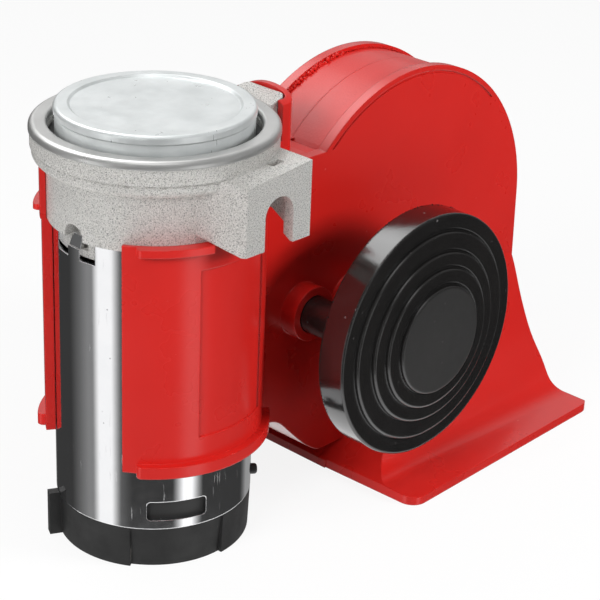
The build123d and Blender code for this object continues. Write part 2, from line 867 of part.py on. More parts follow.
def make_foot():
    """Rubber cap stretched over the end bell, with raised pads and one rib."""
    foot = turned(
        (0, 0),
        (foot_radius_low, 0),
        (foot_radius_high, can_low),
        (bell_radius, can_low),
        (bell_radius, foot_floor),
        (0, foot_floor),
    )
    cone = turned(
        (foot_radius_low - foot_pad_root, 0),
        (foot_radius_low + foot_pad_rise, 0),
        (foot_radius_high + foot_pad_rise / 3, can_low),
        (foot_radius_high - foot_pad_root, can_low),
    )
    for start, stop in foot_pad_sectors:
        foot = foot + (cone & sector(far_reach / 4, start, stop, 0, can_low))
    reach = foot_rib_reach - foot_radius_low + foot_pad_root
    rib = Pos(foot_rib_reach - reach / 2, 0, foot_rib_high / 2) * Box(reach, foot_rib_width, foot_rib_high)
    rib = Rot(0, 0, foot_rib_angle) * rib - tube(can_radius + slip, 0, can_low, foot_rib_high + over)
    foot = foot + (rib - tube(bell_radius, 0, foot_floor, can_low))
    for blade in terminal_cut(slip):
        foot = foot - blade
    return foot


def make_card():
    """Insulating card that carries the brush boxes."""
    outer = can_inner - bell_wall
    return tube(outer, commutator_radius + card_play, card_low, card_low + card_thickness)


def brush_pair():
    """Two carbon brushes and their boxes, on opposite sides of the commutator."""
    low = card_low + card_thickness
    middle = low + brush_box_wall + brush_height / 2
    start = commutator_radius + air_gap
    pieces = []
    for turn in (0, 180):
        brush = Pos(start + brush_length / 2, 0, middle) * Box(brush_length, brush_width, brush_height)
        box_start = start + brush_box_start
        box_size = (brush_box_length, brush_width + 2 * brush_box_wall, brush_height + 2 * brush_box_wall)
        box = Pos(box_start + brush_box_length / 2, 0, middle) * Box(*box_size)
        hollow = Pos(box_start + brush_box_length / 2, 0, middle)
        box = box - hollow * Box(brush_box_length + over, brush_width, brush_height)
        pieces.append((Rot(0, 0, window_angle + turn) * brush, Rot(0, 0, window_angle + turn) * box))
    return pieces


def make_magnet(turn):
    """Arc magnet bonded inside the can."""
    start = turn - magnet_angle / 2
    high = magnet_low + magnet_length
    return sector(can_inner, start, start + magnet_angle, magnet_low, high, can_inner - magnet_thickness)


def core_radius():
    """Radius of the armature core, inside the magnets."""
    return can_inner - magnet_thickness - air_gap


def make_core():
    """Laminated armature core with round-bottomed slots."""
    section = Circle(core_radius()) - Circle(shaft_radius)
    slot_place = core_radius() - core_tooth_tip - core_slot_radius
    for index in range(core_slots):
        angle = index * 360.0 / core_slots
        slot = Pos(slot_place, 0) * Circle(core_slot_radius)
        mouth = Pos(slot_place + core_slot_radius, 0) * Rectangle(2 * core_slot_radius, core_slot_opening)
        section = section - Rot(0, 0, angle) * (slot + mouth)
    return extrude(Pos(0, 0, core_low) * section, core_length)


def make_windings():
    """Copper windings: bars in the slots and the end turns at both sides."""
    slot_place = core_radius() - core_tooth_tip - core_slot_radius
    outer = slot_place + core_slot_radius - winding_inset
    inner = shaft_radius + winding_inner
    high = core_low + core_length
    rounding = winding_overhang / 3
    low_turns = turned(
        (inner, core_low),
        (outer, core_low),
        (outer, core_low - winding_overhang + rounding),
        (outer - rounding, core_low - winding_overhang),
        (inner, core_low - winding_overhang),
    )
    high_turns = turned(
        (inner, high),
        (outer, high),
        (outer, high + winding_overhang - rounding),
        (outer - rounding, high + winding_overhang),
        (inner, high + winding_overhang),
    )
    body = low_turns + high_turns
    for index in range(core_slots):
        place = polar(slot_place, index * 360.0 / core_slots)
        body = body + tube(core_slot_radius - slip, 0, core_low, high, place)
    return body


def make_commutator():
    """Copper commutator with grooves between its bars."""
    high = commutator_low + commutator_length
    body = tube(commutator_radius, shaft_radius, commutator_low, high)
    for index in range(commutator_bars):
        groove = Pos(commutator_radius, 0, (commutator_low + high) / 2)
        groove = groove * Box(2 * commutator_groove_depth, commutator_groove, commutator_length + over)
        body = body - Rot(0, 0, (index + 0.5) * 360.0 / commutator_bars) * groove
    return body


def make_bush(low):
    """Sintered bearing bush."""
    return tube(bush_radius, shaft_bore, low, low + bush_length)


# --------------------------------------------------------------------- pump
def lug_outline(inset):
    """Plan of the near lug: one slanted web, a square front and a square right side."""
    root = lug_web_root
    slant = hypot(lug_left - root[0], -lug_face - root[1])
    shift = inset * slant / (lug_face + root[1])
    back = root[1] + lug_root_lap
    return make_face(
        Polyline(
            (root[0] + shift, back),
            (root[0] + shift, root[1]),
            (lug_left + shift, -lug_face + inset),
            (lug_right - inset, -lug_face + inset),
            (lug_right - inset, back),
            close=True,
        )
    )


def make_lug():
    """Near mounting lug: open below, slot in its front wall."""
    span = lug_high - lug_low_front + 2 * over
    lug = extrude(Pos(0, 0, lug_low_front - over) * lug_outline(0.0), span)
    hollow_low = lug_low_front - 2 * over
    lug = lug - extrude(Pos(0, 0, hollow_low) * lug_outline(lug_wall), lug_high - lug_plate - hollow_low)
    under = make_face(
        Polyline(
            (-lug_face - over, lug_low_front - lug_under_depth),
            (-lug_face - over, lug_low_front),
            (-lug_face + lug_under_flat, lug_low_front),
            (lug_web_root[1], lug_low_back),
            (lug_web_root[1] + lug_under_reach, lug_low_back),
            (lug_web_root[1] + lug_under_reach, lug_low_front - lug_under_depth),
            close=True,
        )
    )
    lug = lug - extrude(Plane.YZ * under, far_reach / 2, both=True)
    rise = lug_high - lug_high_left
    along = Vector(lug_right - lug_left, 0, rise)
    inwards = Vector(lug_web_root[0] - lug_left + lug_slope_step[0], lug_slope_step[1], rise)
    slope = Plane((lug_left, -lug_face, lug_high_left), x_dir=along, z_dir=along.cross(inwards))
    lug = lug - extrude(slope * Rectangle(far_reach / 4, far_reach / 4), lug_slope_room)
    lug = lug - block((-far_reach, far_reach), (-far_reach, 0), (lug_high, far_reach))
    radius = slot_width / 2
    slot = Pos(slot_centre, slot_high - radius) * Circle(radius)
    slot_length = slot_high - radius - hollow_low + over
    slot = slot + Pos(slot_centre, slot_high - radius - slot_length / 2) * Rectangle(slot_width, slot_length)
    lug = lug - across(slot, lug_face - lug_wall - over, lug_face + over)
    hole = Pos(lug_hole_place[0], lug_hole_place[1], lug_high) * Rot(0, 0, lug_hole_turn)
    return lug - hole * Box(lug_hole_length, lug_hole_width, 3 * lug_plate)


def make_outlet_lug():
    """Solid lug on the horn side, with a rising top."""
    rise = outlet_high_outer - outlet_high_near_flange
    profile = make_face(
        Polyline(
            (head_radius - outlet_root, outlet_low),
            (outlet_reach, outlet_low),
            (outlet_reach, outlet_high_outer),
            (flange_radius + outlet_flat, outlet_high_near_flange),
            (head_radius - outlet_root, outlet_high_near_flange - rise),
            close=True,
        )
    )
    corner = cup_corner - cup_wall
    left = cradle_inner - cup_lead
    plan = RectangleRounded(outlet_reach - left, 2 * outlet_half_width, corner)
    return through(profile, outlet_half_width) & extrude(Pos((left + outlet_reach) / 2, 0) * plan, cup_high)


def make_head():
    """Cast pump head: body, flange, lugs, pump chamber and outlet passage."""
    section = make_face(
        Polyline(
            (bush_radius, can_high - head_spigot_depth),
            (can_inner, can_high - head_spigot_depth),
            (can_inner, can_high),
            (head_radius, can_high),
            (head_radius, flange_lower_low),
            (flange_lower_radius, flange_lower_low),
            (flange_lower_radius, flange_step_level),
            (flange_radius - flange_groove, flange_step_level),
            (flange_radius - flange_groove, flange_band_low),
            (flange_radius, flange_band_low),
            (flange_radius, flange_high),
            (flange_bore, flange_high),
            (flange_bore, chamber_high),
            (chamber_radius, chamber_high),
            (chamber_radius, head_floor_high),
            (bush_radius, head_floor_high),
            close=True,
        )
    )
    section = rounded(section, flange_edge_round, (flange_radius, flange_high))
    section = rounded(section, flange_lip_round, (flange_bore, flange_high))
    section = rounded(section, flange_lower_round, (flange_lower_radius, flange_lower_low))
    head = revolve(Plane.XZ * section, Axis.Z)
    lugs = make_lug() + make_outlet_lug()
    lugs = lugs - tube(head_radius - lug_head_lap, 0, 0, far_reach / 2)
    lugs = lugs - tube(flange_bore, 0, chamber_high, far_reach / 2)
    lugs = lugs - tube(flange_radius - lug_under_flange, 0, flange_band_low, far_reach / 2)
    head = head + lugs
    passage = Pos(0, 0, (outlet_low + chamber_high) / 2) * Rot(0, 90, 0)
    passage_tube = passage * extrude(Circle(nipple_bore), nipple_x)
    passage_tube = passage_tube - tube(chamber_radius - over, 0, 0, far_reach / 2)
    head = head - passage_tube
    head = head - tube(nipple_bore, 0, outlet_low - over, (outlet_low + chamber_high) / 2, (nipple_x, 0))
    head = head - tube(nipple_radius, 0, outlet_low - over, outlet_low + nipple_grip, (nipple_x, 0))
    for place in screw_places():
        head = head - tube(screw_radius, 0, cover_plate_high - screw_length, cover_plate_high, place)
    for index in range(crimp_count):
        angle = crimp_angle + crimp_arch_offset + index * 360.0 / crimp_count
        recess = Pos(0, can_high + crimp_arch_level) * Circle(crimp_arch_radius)
        tab_width = 2 * can_radius * sin(radians(crimp_tab_sweep / 2)) + crimp_play
        recess = recess + Pos(0, can_high - crimp_arch_radius / 2) * Rectangle(tab_width, crimp_arch_radius)
        recess = extrude(Plane.YZ * recess, head_radius + over)
        head = head - Rot(0, 0, angle) * (recess - tube(crimp_arch_floor, 0, 0, far_reach / 2))
    return head


def screw_places():
    """Centres of the pump cover's screws."""
    return [polar(screw_ring_radius, 45 + index * 360.0 / screw_count) for index in range(screw_count)]


def make_liner():
    """Cam ring: round outside, bore set off the axis."""
    liner = tube(chamber_radius, 0, head_floor_high, chamber_high)
    liner = liner - tube(liner_bore, 0, head_floor_high - over, chamber_high + over, (0, liner_offset))
    port = Pos(chamber_radius - liner_port_root, 0, (outlet_low + chamber_high) / 2) * Rot(0, 90, 0)
    return liner - port * extrude(Circle(nipple_bore), liner_port_length)


def vane_slot(extra):
    """Radial slots of the rotor, or the vanes that stand flush in them."""
    low = head_floor_high + rotor_hub_clearance
    pieces = []
    for index in range(vane_count):
        start = rotor_radius - vane_depth - extra
        room = vane_cut_room if extra > 0 else -vane_flush
        size = (rotor_radius - start + room, vane_thickness + 2 * extra, rotor_length)
        piece = Pos(start + size[0] / 2, 0, low + rotor_length / 2) * Box(*size)
        pieces.append(Rot(0, 0, 45 + index * 360.0 / vane_count) * piece)
    return pieces


def make_rotor():
    """Slotted pump rotor."""
    low = head_floor_high + rotor_hub_clearance
    rotor = tube(rotor_radius, shaft_radius, low, low + rotor_length)
    for cut in vane_slot(slip):
        rotor = rotor - cut
    return rotor


def make_cover_plate():
    """Plate that closes the pump chamber."""
    plate = tube(cover_plate_radius, 0, chamber_high, cover_plate_high)
    for place in screw_places():
        plate = plate - tube(screw_radius, 0, chamber_high - over, cover_plate_high + over, place)
    return plate


def make_screws():
    """The pump cover's socket screws, as separate solids."""
    screws = []
    for place in screw_places():
        low = cover_plate_high - screw_length + screw_end_gap
        shank = tube(screw_radius - slip, 0, low, cover_plate_high, place)
        head = tube(screw_head_radius, 0, cover_plate_high, cover_plate_high + screw_head_height, place)
        top = cover_plate_high + screw_head_height
        hexagon = Pos(place[0], place[1], top - screw_socket_depth) * RegularPolygon(screw_socket_radius, 6)
        socket = extrude(hexagon, screw_socket_depth + over)
        screws.append(shank + head - socket)
    return screws


def make_head_cap():
    """Pressed cap: sunk centre, rounded edge, beaded side."""
    side = cap_radius - cap_bead
    bead_low = cap_shoulder - cap_bead
    top = cap_high
    dish = cap_dish_radius
    dish_top = top - cap_dish_depth
    outer = Polyline(
        (side, cap_low),
        (side, bead_low),
        (cap_radius, cap_shoulder),
        (cap_radius, top),
        (dish + cap_dish_depth, top),
        (dish, dish_top),
        (0, dish_top),
    )
    inner = Polyline(
        (0, dish_top),
        (0, dish_top - cap_sheet),
        (dish, dish_top - cap_sheet),
        (dish + cap_dish_depth, top - cap_sheet),
        (side - cap_sheet, top - cap_sheet),
        (side - cap_sheet, cap_low),
        (side, cap_low),
    )
    section = make_face([*outer.edges(), *inner.edges()])
    section = rounded(section, cap_edge_round, (cap_radius, top))
    section = rounded(section, cap_bead, (cap_radius, cap_shoulder))
    return revolve(Plane.XZ * section, Axis.Z)


def make_cap_seal():
    """Rubber ring under the cap's edge."""
    inner = cap_radius - cap_bead - cap_sheet - cap_seal_play
    return tube(flange_bore - cap_seal_play, inner, cover_plate_high, cap_low)


def make_nipple():
    """Brass outlet nipple pressed into the outlet lug."""
    return tube(nipple_radius, nipple_bore, nipple_low, outlet_low + nipple_grip, (nipple_x, 0))


def make_nipple_seal():
    """Rubber sleeve between the nipple and the horn's air gallery."""
    outer = nipple_radius + nipple_seal_wall
    high = cup_floor - seal_drop
    return tube(outer, nipple_radius, high - nipple_seal_length, high, (nipple_x, 0))


# ------------------------------------------------------------------- assembly
def build():
    """Every piece by its node name."""
    cover = make_cover()
    far_cover = far(cover)
    parts = {
        "horn_body": make_body(),
        "near_cover": clear_of_cradle(placed(cover)),
        "far_cover": clear_of_cradle(placed(far_cover)),
        "rubber_foot": make_foot(),
        "end_bell": make_end_bell(),
        "terminal_plug": make_plug(),
        "motor_can": make_can(),
        "brush_card": make_card(),
        "lower_bush": make_bush(foot_floor),
        "upper_bush": make_bush(head_floor_high - bush_length),
        "motor_shaft": tube(shaft_radius, 0, shaft_low, shaft_high),
        "commutator": make_commutator(),
        "armature_core": make_core(),
        "armature_windings": make_windings(),
        "magnet_left": make_magnet(180),
        "magnet_right": make_magnet(0),
        "pump_head": make_head(),
        "pump_liner": make_liner(),
        "pump_rotor": make_rotor(),
        "pump_cover_plate": make_cover_plate(),
        "pump_screws": Compound(children=make_screws()),
        "head_cap": make_head_cap(),
        "cap_seal": make_cap_seal(),
        "outlet_nipple": make_nipple(),
        "nipple_seal": make_nipple_seal(),
    }
    for name, (brush, box) in zip(("near", "far"), brush_pair()):
        parts[f"brush_{name}"] = brush
        parts[f"brush_box_{name}"] = box
    for index, blade in enumerate(terminal_cut(0.0)):
        parts[f"terminal_blade_{index + 1}"] = blade
    for index, vane in enumerate(vane_slot(0.0)):
        parts[f"vane_{index + 1}"] = vane
    unit = {
        "diaphragm_cap": make_cap(),
        "diaphragm_tray": make_tray(),
        "diaphragm": make_diaphragm(),
        "diaphragm_gasket": make_gasket(),
        "throat_seal": make_throat_seal(),
    }
    for name, body in unit.items():
        parts[f"near_{name}"] = placed(body)
        parts[f"far_{name}"] = placed(far(body))
    return parts


def main():
    os.makedirs("parts", exist_ok=True)
    for name, body in build().items():
        export_step(body, f"parts/{name}.step")


main()
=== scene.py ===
# %% [markdown]
# # A compact twin-trumpet air horn
# A small compressor stands in front: a bright motor can with a cast pump head and a plated cap on it, in a
# black rubber foot. Beside it sits a red moulded housing whose two coiled trumpets open downwards, with a
# black diaphragm disc on each side. The measured model gives every shape, so this lesson is about finishes,
# light and the few rough details that a factory leaves on such a part.

# %% Load the measured model
import json
from math import cos, pi, radians

import bpy
from mathutils import Matrix, Vector


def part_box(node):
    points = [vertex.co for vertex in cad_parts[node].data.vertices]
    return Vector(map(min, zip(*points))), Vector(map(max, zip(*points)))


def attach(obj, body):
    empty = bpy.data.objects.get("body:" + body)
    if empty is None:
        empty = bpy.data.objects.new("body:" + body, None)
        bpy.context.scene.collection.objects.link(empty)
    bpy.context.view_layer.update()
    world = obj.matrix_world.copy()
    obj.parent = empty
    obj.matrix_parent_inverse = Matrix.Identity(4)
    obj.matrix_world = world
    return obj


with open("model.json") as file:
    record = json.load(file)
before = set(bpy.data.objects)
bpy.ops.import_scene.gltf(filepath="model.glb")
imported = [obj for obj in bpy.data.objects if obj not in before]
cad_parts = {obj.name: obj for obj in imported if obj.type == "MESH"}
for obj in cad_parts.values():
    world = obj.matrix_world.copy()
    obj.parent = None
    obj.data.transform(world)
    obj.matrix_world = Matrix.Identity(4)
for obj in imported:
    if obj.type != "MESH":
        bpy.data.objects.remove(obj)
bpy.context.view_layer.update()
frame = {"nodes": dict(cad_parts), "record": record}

nodes = frame["nodes"]
slot_of = {part["node"]: part["material_slot"] for part in frame["record"]["subparts"]}

# %% [markdown]
# ## Places that the finishes need
# Some finishes change within one piece: the flange is turned and the rest of the head is as cast. Such a
# border could be typed in, but it would stay behind when the model changes. So it is measured from the frame,
# as the box of a named piece and a small step from its edge.

# %% Measure the housing, the discs and the head
HOUSING_AXIS = (0.0834, 0.0626)     # x and z of the coil's axis

disc_low, disc_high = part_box("near_diaphragm_cap")
far_disc_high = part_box("far_diaphragm_cap")[1]
cover_low, cover_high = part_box("far_cover")
head_low, head_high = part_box("pump_head")

disc_middle = (disc_low + disc_high) / 2
disc_radius = (disc_high.x - disc_low.x) / 2
housing_middle = (disc_low.y + far_disc_high.y) / 2
disc_back = housing_middle - disc_high.y
plate_inside = cover_low.y - housing_middle
plate_radius = cover_high.z - HOUSING_AXIS[1]
flange_radius = -head_low.x
print("disc axis at", round(disc_middle.x, 4), round(disc_middle.z, 4), "radius", round(disc_radius, 4))
print("side plate's radius", round(plate_radius, 4), "and flange's radius", round(flange_radius, 4))

# %% [markdown]
# ## A short way to write a finish
# A finish is a small network of nodes round one Principled shader. Writing each node out in full hides the
# idea, so one helper adds a node, sets its options and fills its sockets, either with a value or with a link.

# %% Add a node and fill its sockets
def fill(tree, socket, value):
    """Link an output to the socket, or write the value in it."""
    if isinstance(value, bpy.types.NodeSocket):
        tree.links.new(value, socket)
    else:
        socket.default_value = value


def add(tree, kind, options=None, **sockets):
    """Add a node; a socket value may be a number, a colour or another node's output."""
    node = tree.nodes.new(kind)
    for name, value in (options or {}).items():
        setattr(node, name, value)
    for name, value in sockets.items():
        fill(tree, node.inputs[name.replace("_", " ")], value)
    return node


def new_finish(name, **sockets):
    """A material with one Principled shader, which the sockets set up."""
    material = bpy.data.materials.new(name)
    material.use_nodes = True
    tree = material.node_tree
    shader = tree.nodes["Principled BSDF"]
    for socket, value in sockets.items():
        fill(tree, shader.inputs[socket.replace("_", " ")], value)
    return material, tree, shader


print("node helpers ready")

# %% [markdown]
# ## Arithmetic on greys
# A pattern is a grey value at each point. Three small helpers do all the arithmetic: one step on two greys,
# a change of range that also holds the value inside it, and a mix of two colours by a grey.

# %% Helpers for greys and colours
def maths(tree, operation, first, second=0.0):
    """One arithmetic step on grey values."""
    node = add(tree, "ShaderNodeMath", {"operation": operation})
    fill(tree, node.inputs[0], first)
    fill(tree, node.inputs[1], second)
    return node.outputs[0]


def spread(tree, value, low, high, to_low=0.0, to_high=1.0):
    """Map a range of grey to another, and hold it inside."""
    node = add(tree, "ShaderNodeMapRange", Value=value)
    for socket, number in zip(node.inputs[1:5], (low, high, to_low, to_high)):
        socket.default_value = number
    return node.outputs["Result"]


def blend_colours(tree, amount, first, second):
    """Mix two colours by a grey value."""
    node = add(tree, "ShaderNodeMix", {"data_type": "RGBA"})
    fill(tree, node.inputs[0], amount)
    fill(tree, node.inputs[6], first)
    fill(tree, node.inputs[7], second)
    return node.outputs[2]


print("helpers for greys ready")

# %% [markdown]
# ## Patterns and relief
# Every pattern reads Object coordinates. The pieces all sit at the origin in metres, so a noise of scale 1000
# gives grains of about a millimetre on each of them. Relief comes from two nodes: a bump for grain, and a
# bevelled normal that seems to round a sharp edge off without changing the measured mesh.

# %% Helpers for patterns and relief
EDGE_SAMPLES = 6


def place(tree, scale=(1, 1, 1), offset=(0, 0, 0)):
    """Object coordinates, moved and stretched for one pattern."""
    coordinates = add(tree, "ShaderNodeTexCoord")
    mapping = add(tree, "ShaderNodeMapping", Vector=coordinates.outputs["Object"], Scale=scale,
                  Location=offset)
    return mapping.outputs["Vector"]


def noise(tree, scale, detail=3.0, stretch=(1, 1, 1), roughness=0.55):
    """Cloudy grey noise; scale is in cells per metre."""
    vector = place(tree, stretch)
    node = add(tree, "ShaderNodeTexNoise", Vector=vector, Scale=scale, Detail=detail, Roughness=roughness)
    return node.outputs["Fac"]


def bump(tree, shader, height, depth, under=None):
    """Roughen the surface by a height pattern, depth in metres."""
    node = add(tree, "ShaderNodeBump", Height=height, Distance=depth, Strength=1.0)
    if under is not None:
        tree.links.new(under, node.inputs["Normal"])
    tree.links.new(node.outputs["Normal"], shader.inputs["Normal"])
    return node.outputs["Normal"]


def rounded_edges(tree, radius):
    """Shading normal that rounds sharp edges off by a small radius, in metres."""
    return add(tree, "ShaderNodeBevel", {"samples": EDGE_SAMPLES}, Radius=radius).outputs["Normal"]


print("helpers for patterns ready")

# %% [markdown]
# ## Specks
# Handling leaves sparse round specks on plastic and on chrome. A thresholded noise would give ragged islands,
# so the specks come from Voronoi cells: each cell draws a random colour, by which a share of them is chosen,
# and the distance from the cell's point makes the speck round.

# %% Helper for specks
SPECK_CORE = 0.4                 # share of a speck's size inside which it is full


def pin_dots(tree, scale, size, share):
    """Sparse round specks: a share of the cells hold one, of a size in cells."""
    cells = add(tree, "ShaderNodeTexVoronoi", Vector=place(tree), Scale=scale)
    chosen = add(tree, "ShaderNodeSeparateColor", Color=cells.outputs["Color"]).outputs[0]
    chosen = maths(tree, "LESS_THAN", chosen, share)
    speck = spread(tree, cells.outputs["Distance"], size, size * SPECK_CORE)
    return maths(tree, "MULTIPLY", speck, chosen)


print("specks ready")

# %% [markdown]
# ## Red housing plastic
# The housing is glossy moulded plastic, dyed through, so its colour barely changes while its gloss does. The
# colour noise is kept weak and the roughness noise separate from it, which is how a dyed plastic differs from
# a painted surface. The duct walls between the two side plates came from a rougher part of the mould, and
# keep the fine line where its halves met. A second material could say so, but the piece is one moulding, so
# one material changes with the distance from the middle plane.

# %% Where the duct walls are
DUCT_HALF = 0.0107               # half the width of the duct walls, in y
DUCT_FROM = 0.044                # the ducts start past the cradle, in x


def duct_walls(tree):
    """Distance from the housing's middle plane, and a grey that is 1 on the duct walls."""
    axes = add(tree, "ShaderNodeSeparateXYZ", Vector=place(tree))
    off_middle = maths(tree, "ABSOLUTE", maths(tree, "SUBTRACT", axes.outputs["Y"], housing_middle))
    between_plates = maths(tree, "LESS_THAN", off_middle, DUCT_HALF)
    past_cradle = maths(tree, "GREATER_THAN", axes.outputs["X"], DUCT_FROM)
    return off_middle, maths(tree, "MULTIPLY", between_plates, past_cradle)


print("duct walls within", DUCT_HALF, "m of y =", round(housing_middle, 4))

# %% Make the red plastic
DEEP_RED = (0.51, 0.0125, 0.0095, 1)
BRIGHT_RED = (0.60, 0.0165, 0.0125, 1)
RUBBED_RED = (0.72, 0.22, 0.20, 1)
DUCT_ROUGHER = 0.15
PARTING_HALF = 0.00025           # half widths of the parting line's foot and top
PARTING_TOP = 0.00005


def make_red_plastic():
    material, tree, shader = new_finish("housing_red", Coat_Weight=0.25, Coat_Roughness=0.12)
    off_middle, duct = duct_walls(tree)
    red = blend_colours(tree, noise(tree, 28.0), DEEP_RED, BRIGHT_RED)
    marks = maths(tree, "MULTIPLY", pin_dots(tree, scale=170.0, size=0.07, share=0.22), 0.5)
    tree.links.new(blend_colours(tree, marks, red, RUBBED_RED), shader.inputs["Base Color"])
    dull = spread(tree, noise(tree, 60.0), low=0.3, high=0.75, to_low=0.26, to_high=0.33)
    dull = maths(tree, "ADD", dull, maths(tree, "MULTIPLY", duct, DUCT_ROUGHER))
    dull = maths(tree, "ADD", dull, maths(tree, "MULTIPLY", marks, 0.15))
    tree.links.new(dull, shader.inputs["Roughness"])
    soft_edges = rounded_edges(tree, radius=0.00045)
    waves = bump(tree, shader, noise(tree, 34.0, detail=1.0), depth=0.00010, under=soft_edges)
    parting = maths(tree, "MULTIPLY", spread(tree, off_middle, low=PARTING_HALF, high=PARTING_TOP), duct)
    grain = maths(tree, "MULTIPLY", noise(tree, 1500.0, detail=2.0), maths(tree, "MULTIPLY", duct, 0.6))
    bump(tree, shader, maths(tree, "ADD", grain, parting), depth=0.00010, under=waves)
    return material


finishes = {"horn_red": make_red_plastic()}
print("made", finishes["horn_red"].name)

# %% [markdown]
# ## Plain blacks
# The foot is matt rubber, the plug and the end bell are dark mouldings, and the seals, magnets and brushes
# inside are near black too. They differ in darkness and in dullness alone, so one function makes them all.
# Rubbing shows as pale scuffs: a noise is thresholded hard, and the same grey lightens and roughens them.

# %% Make the plain blacks
BLACKS = {  # slot: name, colour, scuffed colour, lowest and highest roughness, noise level where scuffs begin
    "dark_plastic": ("plug_black", (0.02, 0.02, 0.02, 1), (0.09, 0.09, 0.09, 1), 0.35, 0.5, 0.7),
    "foot_rubber": ("foot_rubber", (0.011, 0.011, 0.011, 1), (0.16, 0.15, 0.14, 1), 0.5, 0.7, 0.69),
    "seal_rubber": ("seal_rubber", (0.02, 0.02, 0.02, 1), (0.08, 0.08, 0.08, 1), 0.6, 0.8, 0.7),
    "magnet": ("ferrite", (0.05, 0.05, 0.055, 1), (0.14, 0.14, 0.14, 1), 0.5, 0.7, 0.62),
    "carbon": ("carbon", (0.03, 0.03, 0.03, 1), (0.10, 0.10, 0.10, 1), 0.4, 0.6, 0.6)}


def make_black(name, colour, scuffed, low_rough, high_rough, scuff_level):
    material, tree, shader = new_finish(name, Specular_IOR_Level=0.5)
    ragged = noise(tree, 420.0, detail=6.0, stretch=(1.0, 1.0, 0.35))
    scuffs = spread(tree, ragged, scuff_level, scuff_level + 0.12)
    tree.links.new(blend_colours(tree, scuffs, colour, scuffed), shader.inputs["Base Color"])
    dull = spread(tree, noise(tree, 160.0, detail=4.0), 0.3, 0.75, to_low=low_rough, to_high=high_rough)
    tree.links.new(maths(tree, "ADD", dull, maths(tree, "MULTIPLY", scuffs, 0.2)), shader.inputs["Roughness"])
    bump(tree, shader, noise(tree, 1800.0), depth=0.00002, under=rounded_edges(tree, radius=0.0003))
    return material


for slot, row in BLACKS.items():
    finishes[slot] = make_black(*row)
print("plain blacks:", sorted(BLACKS))

# %% [markdown]
# ## Disc plastic
# The disc cap is moulded with a polished rim and polished terraces, and its flat centre is left matt. Centre
# and terraces are one moulding, so the gloss has to change inside one material: the distance from the disc's
# axis drives the roughness, and the scuffs gather on the rim, where hands and brackets touch it.

# %% Zones of the disc
MATT_RADIUS = 0.0146
MATT_FADE = 0.0006
RIM_RADIUS = 0.0300
RIM_FADE = 0.003


def disc_zones(tree):
    """Greys that are 1 outside the matt centre, and 1 on the rim."""
    flat = place(tree, (1.0, 0.0, 1.0), (-disc_middle.x, 0.0, -disc_middle.z))
    radius = add(tree, "ShaderNodeVectorMath", {"operation": "LENGTH"}, Vector=flat).outputs["Value"]
    glossy = spread(tree, radius, MATT_RADIUS, MATT_RADIUS + MATT_FADE)
    return glossy, spread(tree, radius, RIM_RADIUS, RIM_RADIUS + RIM_FADE)


print("matt centre of", MATT_RADIUS, "m and rim from", RIM_RADIUS, "m")

# %% Make the disc plastic
DEEP_BLACK = (0.006, 0.0057, 0.0057, 1)
SOFT_BLACK = (0.012, 0.011, 0.0105, 1)
SCUFF_GREY = (0.16, 0.15, 0.15, 1)
MATT = 0.55                      # roughness of the centre and of the terraces
POLISHED = 0.12


def make_disc_black():
    material, tree, shader = new_finish("disc_black", Specular_IOR_Level=1.0)
    glossy, rim = disc_zones(tree)
    ragged = spread(tree, noise(tree, 520.0, detail=7.0, stretch=(1.0, 0.4, 1.0)), low=0.68, high=0.80)
    nicks = maths(tree, "MULTIPLY", pin_dots(tree, scale=260.0, size=0.12, share=0.35), 0.8)
    rim_share = spread(tree, rim, 0, 1, to_low=0.25, to_high=1.0)
    marks = maths(tree, "MULTIPLY", maths(tree, "MAXIMUM", ragged, nicks), rim_share)
    black = blend_colours(tree, noise(tree, 60.0), DEEP_BLACK, SOFT_BLACK)
    tree.links.new(blend_colours(tree, marks, black, SCUFF_GREY), shader.inputs["Base Color"])
    cloud = spread(tree, noise(tree, 170.0, detail=5.0), low=0.3, high=0.75, to_low=0.0, to_high=0.09)
    level = spread(tree, glossy, 0, 1, to_low=MATT, to_high=POLISHED)
    level = maths(tree, "SUBTRACT", level, maths(tree, "MULTIPLY", rim, 0.03))
    level = maths(tree, "ADD", maths(tree, "ADD", level, cloud), maths(tree, "MULTIPLY", marks, 0.2))
    tree.links.new(level, shader.inputs["Roughness"])
    soft_edges = rounded_edges(tree, radius=0.0007)
    fine = bump(tree, shader, noise(tree, 2200.0, detail=2.0), depth=0.000012, under=soft_edges)
    bump(tree, shader, noise(tree, 70.0, detail=1.0), depth=0.00010, under=fine)
    return material


finishes["disc_black"] = make_disc_black()
print("made", finishes["disc_black"].name)

# %% [markdown]
# ## Cast metal of the pump head
# The head comes from a die with a sandblasted cavity, which prints a coarse grain. Its glints are painted
# into the colour as bright specks, and its pits are painted dark with the shade that falls in them. Only its
# top flange is turned on a lathe afterwards. One material serves both, as on the real piece: the height above
# the foot and the distance from the axis switch from the grain to fine lathe lines.

# %% Where the flange is turned
TURNED_BAND = 0.0022             # depth of the turned band, from the head's top
TURNED_FADE = 0.0004
FLANGE_MARGIN = 0.0002


def turned_flange(tree):
    """A grey that is 1 on the turned flange and 0 on the rough casting."""
    turned_from = head_high.z - TURNED_BAND
    height = add(tree, "ShaderNodeSeparateXYZ", Vector=place(tree)).outputs["Z"]
    reach = add(tree, "ShaderNodeVectorMath", {"operation": "LENGTH"}, Vector=place(tree, (1, 1, 0)))
    within = maths(tree, "LESS_THAN", reach.outputs["Value"], flange_radius + FLANGE_MARGIN)
    return maths(tree, "MULTIPLY", spread(tree, height, turned_from, turned_from + TURNED_FADE), within)


print("turned above", round(head_high.z - TURNED_BAND, 4), "m")

